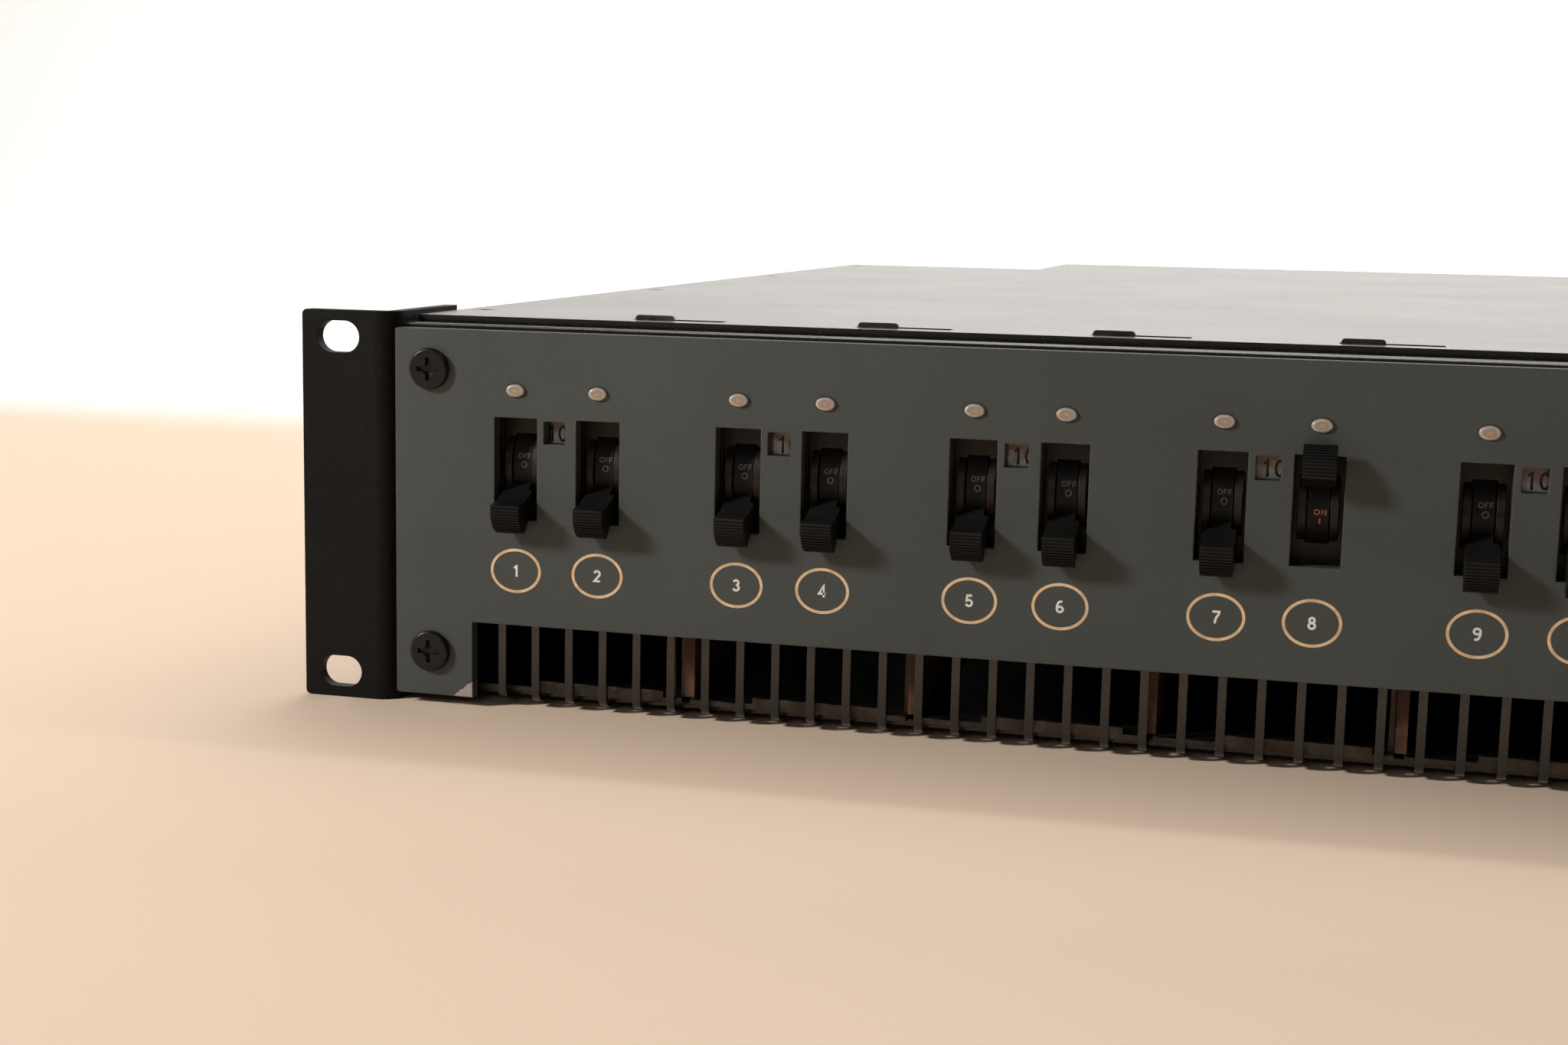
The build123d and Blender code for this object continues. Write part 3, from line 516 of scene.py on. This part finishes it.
RING_INK = ink_finish(
    "ring_ink", colour(0.48, 0.33, 0.19), colour(0.90, 0.64, 0.40), metallic=0.1, rough=0.42)
WHITE_INK = ink_finish("white_ink", colour(0.62, 0.59, 0.53), colour(0.86, 0.82, 0.75))
GREY_INK = ink_finish("grey_ink", colour(0.06, 0.055, 0.047), colour(0.17, 0.16, 0.135))
ORANGE_INK = ink_finish("orange_ink", colour(0.28, 0.07, 0.03), colour(0.62, 0.20, 0.09))
BLACK_INK = ink_finish("black_ink", colour(0.010, 0.011, 0.008), colour(0.022, 0.022, 0.018), rough=0.45)

NODE_FINISH = {
    "chassis": CHASSIS_PAINT, "inlet_recess": CHASSIS_PAINT, "top_cover": COVER_PAINT,
    "rear_panel": COVER_PAINT, "front_panel": PANEL_PAINT, "rack_ear_left": EAR_PAINT,
    "rack_ear_right": EAR_PAINT, "panel_screws": SCREW_BLACK, "ear_screws": SCREW_BLACK,
    "rear_screws": SCREW_BLACK, "cover_screws": SCREW_BLACK, "panel_nuts": ZINC, "handle_pins": ZINC,
    "led_lenses": LENS_CLEAR, "led_board": CIRCUIT_BOARD, "module_liners": PRESSBOARD, "rating_labels": FOIL,
    "load_terminals": BRASS, "line_busbar": COPPER, "neutral_bar": BRASS, "earth_bar": BRASS,
    "bar_supports": INSULATOR, "input_terminal_block": INSULATOR, "outlets": OUTLET_PLASTIC,
    "gland_body": GLAND_NYLON, "gland_lock_nut": GLAND_NYLON, "gland_cap": GLAND_NYLON,
    "gland_seal": SEAL_RUBBER,
}


def dress_nodes():
    """Gives every CAD node its finish."""
    for name, piece in nodes.items():
        if name in NODE_FINISH:
            finish = NODE_FINISH[name]
        elif name.startswith("handle_"):
            finish = HANDLE_PLASTIC
        elif name.startswith("breaker_cases_"):
            finish = CASE_PLASTIC
        else:
            finish = TRAY_METAL
        for slot in piece.material_slots:
            slot.material = finish
        if not piece.material_slots:
            piece.data.materials.append(finish)


# ---- printed marks -------------------------------------------------------------------------
def piece_from(bm, name, finish, body):
    """Turns a finished bmesh into a piece that rides on a body."""
    mesh = bpy.data.meshes.new(name)
    bm.to_mesh(mesh)
    bm.free()
    mesh.materials.append(finish)
    piece = bpy.data.objects.new(name, mesh)
    bpy.context.scene.collection.objects.link(piece)
    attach(piece, body)


def arc(centre_x, centre_y, radius_x, radius_y, start, stop):
    """Centre line of part of an oval, from start to stop degrees, a point about every 15."""
    steps = max(2, round(abs(stop - start) / 15))
    angles = (math.radians(start + (stop - start) * k / steps) for k in range(steps + 1))
    return [(centre_x + radius_x * math.cos(a), centre_y + radius_y * math.sin(a)) for a in angles]


def bowl(centre_y, radius_x, radius_y, centre_x=0.30):
    """Centre line of a whole oval, from its top."""
    return arc(centre_x, centre_y, radius_x, radius_y, 90, 450)


SIX = [bowl(0.29, 0.21, 0.21), arc(0.34, 0.40, 0.25, 0.52, 180, 65)]
# Centre lines of each sign's strokes, on a height of 1, and then the width it takes up.
SIGNS = {
    "0": ([bowl(0.5, 0.21, 0.42)], 0.60),
    "1": ([[(0.37, 0.0), (0.37, 1.0)], [(0.15, 0.76), (0.28, 0.80), (0.37, 0.92)]], 0.60),
    "2": ([arc(0.30, 0.69, 0.21, 0.23, 170, -35) + [(0.09, 0.08), (0.54, 0.08)]], 0.60),
    "3": ([arc(0.29, 0.72, 0.18, 0.20, 165, -90), arc(0.29, 0.30, 0.21, 0.22, 90, -165)], 0.60),
    "4": ([[(0.43, 0.0), (0.43, 0.95), (0.08, 0.28), (0.57, 0.28)]], 0.60),
    "5": ([[(0.50, 0.92), (0.17, 0.92), (0.12, 0.50)] + arc(0.29, 0.32, 0.21, 0.24, 125, -160)], 0.60),
    "6": (SIX, 0.60),
    "7": ([[(0.07, 0.92), (0.53, 0.92)] + arc(0.93, 0.0, 0.68, 0.92, 130, 180)], 0.60),
    "8": ([bowl(0.73, 0.17, 0.19), bowl(0.30, 0.21, 0.22)], 0.60),
    "9": ([[(0.60 - x, 1.0 - y) for x, y in stroke] for stroke in SIX], 0.60),
    "O": ([bowl(0.5, 0.30, 0.42, 0.38)], 0.76),
    "F": ([[(0.08, 0.0), (0.08, 0.92), (0.50, 0.92)], [(0.08, 0.50), (0.44, 0.50)]], 0.52),
    "N": ([[(0.08, 0.0), (0.08, 0.95), (0.52, 0.05), (0.52, 1.0)]], 0.60),
    "I": ([[(0.08, 0.0), (0.08, 1.0)]], 0.16),
}
SIGN_GAP = 0.13


def stroke_sides(points, half):
    """Left and right edges of a stroke, mitred where it turns."""
    closed = math.dist(points[0], points[-1]) < 1e-6
    corners = points[:-1] if closed else points
    count = len(corners)
    sides = ([], [])
    for k in range(count):
        before = corners[k - 1] if closed or k else corners[k]
        after = corners[(k + 1) % count] if closed or k < count - 1 else corners[k]
        into = (Vector(corners[k]) - Vector(before)).normalized()
        out = (Vector(after) - Vector(corners[k])).normalized()
        along = (into + out).normalized()
        stretch = half / max(0.45, along.dot(out if out.length else into))
        across = Vector((-along.y, along.x)) * stretch
        for side, sign in zip(sides, (1, -1)):
            side.append(Vector(corners[k]) + across * sign)
    return sides, closed


def add_stroke(bm, points, half, thick, place):
    """One stroke as a thin closed solid; place maps its (across, up, lift) to the model."""
    sides, closed = stroke_sides(points, half)
    chains = [[bm.verts.new((p.x, p.y, 0)) for p in side] for side in sides]
    edges = [bm.edges.new(pair) for chain in chains for pair in zip(chain, chain[1:])]
    if closed:
        edges += [bm.edges.new((chain[-1], chain[0])) for chain in chains]
    faces = bmesh.ops.bridge_loops(bm, edges=edges)["faces"]
    grown = bmesh.ops.extrude_face_region(bm, geom=faces, use_keep_orig=True)["geom"]
    lifted = [g for g in grown if isinstance(g, bmesh.types.BMVert)]
    bmesh.ops.translate(bm, vec=(0, 0, thick), verts=lifted)
    verts = {v for chain in chains for v in chain} | set(lifted)
    bmesh.ops.recalc_face_normals(bm, faces=list({f for v in verts for f in v.link_faces}))
    for vert in verts:
        vert.co = place(*vert.co)


def add_text(bm, words, height, place, weight, stretch=1.0):
    """Adds flat lettering centred on (0, 0), height tall in millimetres; weight is its stroke."""
    total = sum(SIGNS[sign][1] for sign in words) + SIGN_GAP * (len(words) - 1)
    cursor = -total / 2
    thick = INK
    for sign in words:
        strokes, width = SIGNS[sign]
        for stroke in strokes:
            points = [((x + cursor) * height * stretch, (y - 0.5) * height) for x, y in stroke]
            thick += STROKE_STEP
            add_stroke(bm, points, weight * height / 2, thick, place)
        cursor += width + SIGN_GAP


def on_panel(x, z, surface=0.0):
    """Flat on a surface that faces -Y."""
    return lambda across, up, lift: Vector((x + across, surface - lift, z + up)) * MM


def on_rear(x, z, surface):
    """Flat on a surface that faces +Y."""
    return lambda across, up, lift: Vector((x - across, surface + lift, z + up)) * MM


def on_skirt(number, above):
    """Wrapped round a handle's skirt, above degrees over its paddle, at the handle's rest angle."""
    rest = HANDLE_SWING if number == RAISED_HANDLE else -HANDLE_SWING

    def place(across, up, lift):
        radius = SKIRT_RADIUS - PRINT_SINK + lift
        angle = math.radians(rest + above) + up / SKIRT_RADIUS
        return Vector((breaker_x(number) + HANDLE_PRINT_SHIFT + across, PIVOT[0] - radius * math.cos(angle),
                       PIVOT[1] + radius * math.sin(angle))) * MM
    return place


def ring(bm, centre_x, centre_z):
    """Printed oval ring."""
    loops = []
    for inset in (0.0, RING_STROKE):
        grow = Matrix.Diagonal(((RING[0] / 2 - inset) * MM, (RING[1] / 2 - inset) * MM, 1, 1))
        place = Matrix.Translation(Vector((centre_x, -INK, centre_z)) * MM)
        stand = Matrix.Rotation(math.radians(90), 4, "X")
        made = bmesh.ops.create_circle(bm, segments=72, radius=1.0, matrix=place @ stand @ grow)
        loops.append(made["verts"])
    edges = [e for verts in loops for e in {e for v in verts for e in v.link_edges}]
    faces = bmesh.ops.bridge_loops(bm, edges=edges)["faces"]
    bmesh.ops.recalc_face_normals(bm, faces=faces)
    bmesh.ops.solidify(bm, geom=faces, thickness=INK * MM * 0.9)


def add_prints():
    """Rings and numbers on the panel, ratings in the small windows and marks on the handles."""
    rings = bmesh.new()
    numbers = bmesh.new()
    for number in BREAKERS:
        middle = breaker_x(number) + PANEL_PRINT_SHIFT
        ring(rings, middle, RING_Z)
        add_text(numbers, str(number), 2.65, on_panel(middle, RING_Z), 0.18, 1.12)
    piece_from(rings, "ring_print", RING_INK, "housing")
    piece_from(numbers, "number_print", WHITE_INK, "housing")
    ratings = bmesh.new()
    for module in range(MODULES):
        middle = breaker_x(2 * module + 1) + BREAKER_PITCH / 2
        shift = RATING_SHIFT if module else FIRST_RATING_SHIFT
        add_text(ratings, "10", 3.7, on_panel(middle + shift, RATING_Z, LABEL_FACE), 0.14)
    piece_from(ratings, "rating_print", BLACK_INK, "housing")
    for number in BREAKERS:
        for state, marks, ink in (("off", OFF_MARKS, GREY_INK), ("on", ON_MARKS, ORANGE_INK)):
            bm = bmesh.new()
            for words, height, above, weight, stretch in marks:
                add_text(bm, words, height, on_skirt(number, above), weight, stretch)
            piece_from(bm, f"handle_{state}_print_{number}", ink, f"handle_{number}")


def add_rear_numbers():
    """Outlet numbers on the rear panel, over the upper row and under the lower one."""
    low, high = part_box("outlets")
    left = low.x / MM + OUTLET_MARGIN
    pitch = ((high.x - low.x) / MM - 2 * OUTLET_MARGIN) / (MODULES - 1)
    numbers = bmesh.new()
    for index in BREAKERS:
        row, column = divmod(index - 1, MODULES)
        z = (OUTLET_ROW_Z + REAR_NUMBER_OFFSET) * (1 - 2 * row)
        add_text(numbers, str(index), 2.6, on_rear(left + pitch * column, z, REAR_FACE), 0.18)
    piece_from(numbers, "outlet_number_print", WHITE_INK, "housing")


# ---- floor, backdrop and lights ------------------------------------------------------------
def sweep_finish():
    """Pale warm floor that turns to white a little behind the unit."""
    finish = Finish("pale_sweep", Specular_IOR_Level=0.3)
    tree = finish.tree
    clouds = noise(tree, finish.place, 3.0, 4.0)
    floor = mix_colour(tree, clouds, colour(0.78, 0.60, 0.46), colour(0.82, 0.64, 0.50))
    distance = coordinates(tree, finish.place)[1]
    base = mix_colour(tree, band(tree, distance, 0.50, 0.60), floor, colour(0.84, 0.83, 0.81))
    return finish.feed(Base_Color=base, Roughness=band(tree, clouds, 0.0, 1.0, 0.65, 0.75))


def add_stage():
    """Pale sweep: a floor that curves up into a backdrop."""
    low = cad_box[0][2]
    front, depth, bend, height, width = -3.0, 2.6, 0.5, 2.2, 10.0
    spine = [(front, low)]
    spine += [(depth + bend * math.sin(a), low + bend * (1 - math.cos(a)))
              for a in (math.radians(9 * k) for k in range(11))]
    spine.append((depth + bend, low + height))
    bm = bmesh.new()
    verts = [bm.verts.new((-width / 2, y, z)) for y, z in spine]
    edges = [bm.edges.new(pair) for pair in zip(verts, verts[1:])]
    swept = bmesh.ops.extrude_edge_only(bm, edges=edges)["geom"]
    moved = [g for g in swept if isinstance(g, bmesh.types.BMVert)]
    bmesh.ops.translate(bm, vec=(width, 0, 0), verts=moved)
    bmesh.ops.recalc_face_normals(bm, faces=bm.faces)
    mesh = bpy.data.meshes.new("sweep")
    bm.to_mesh(mesh)
    bm.free()
    mesh.materials.append(sweep_finish())
    sweep = bpy.data.objects.new("sweep", mesh)
    for polygon in mesh.polygons:
        polygon.use_smooth = True
    bpy.context.scene.collection.objects.link(sweep)


def add_light(name, place, target, size, power, tint):
    """Rectangular area light, in metres and watts, facing its target."""
    data = bpy.data.lights.new(name, "AREA")
    data.shape = "RECTANGLE"
    data.size, data.size_y = size
    data.energy = power
    data.color = tint
    lamp = bpy.data.objects.new(name, data)
    lamp.location = place
    lamp.rotation_euler = (Vector(target) - Vector(place)).to_track_quat("-Z", "Y").to_euler()
    bpy.context.scene.collection.objects.link(lamp)


def add_lights():
    """Grazing key from the left, weak fill in front, a wide light overhead and a lit backdrop."""
    warm = (1.0, 0.975, 0.93)
    middle = (0.0, 0.0, 0.0)
    add_light("key_left", (-1.22, -0.72, 0.68), middle, (0.22, 0.22), 20, warm)
    add_light("low_front", (-0.25, -1.3, 0.62), middle, (0.5, 0.4), 1.1, warm)
    add_light("overhead", (0.3, 0.7, 1.4), (0.0, 0.2, 0.0), (2.2, 0.9), 14, warm)
    add_light("back_wash", (0.0, 1.3, 2.2), (0.0, 3.0, 0.9), (6.0, 1.2), 150, (1.0, 0.985, 0.965))
    world = bpy.data.worlds.new("studio")
    bpy.context.scene.world = world
    world.use_nodes = True
    room = world.node_tree.nodes["Background"]
    room.inputs[0].default_value = colour(1.0, 0.975, 0.95)
    room.inputs[1].default_value = 0.05
    bpy.context.scene.view_settings.view_transform = "Standard"


add_camera()
dress_nodes()
add_prints()
add_rear_numbers()
add_stage()
add_lights()
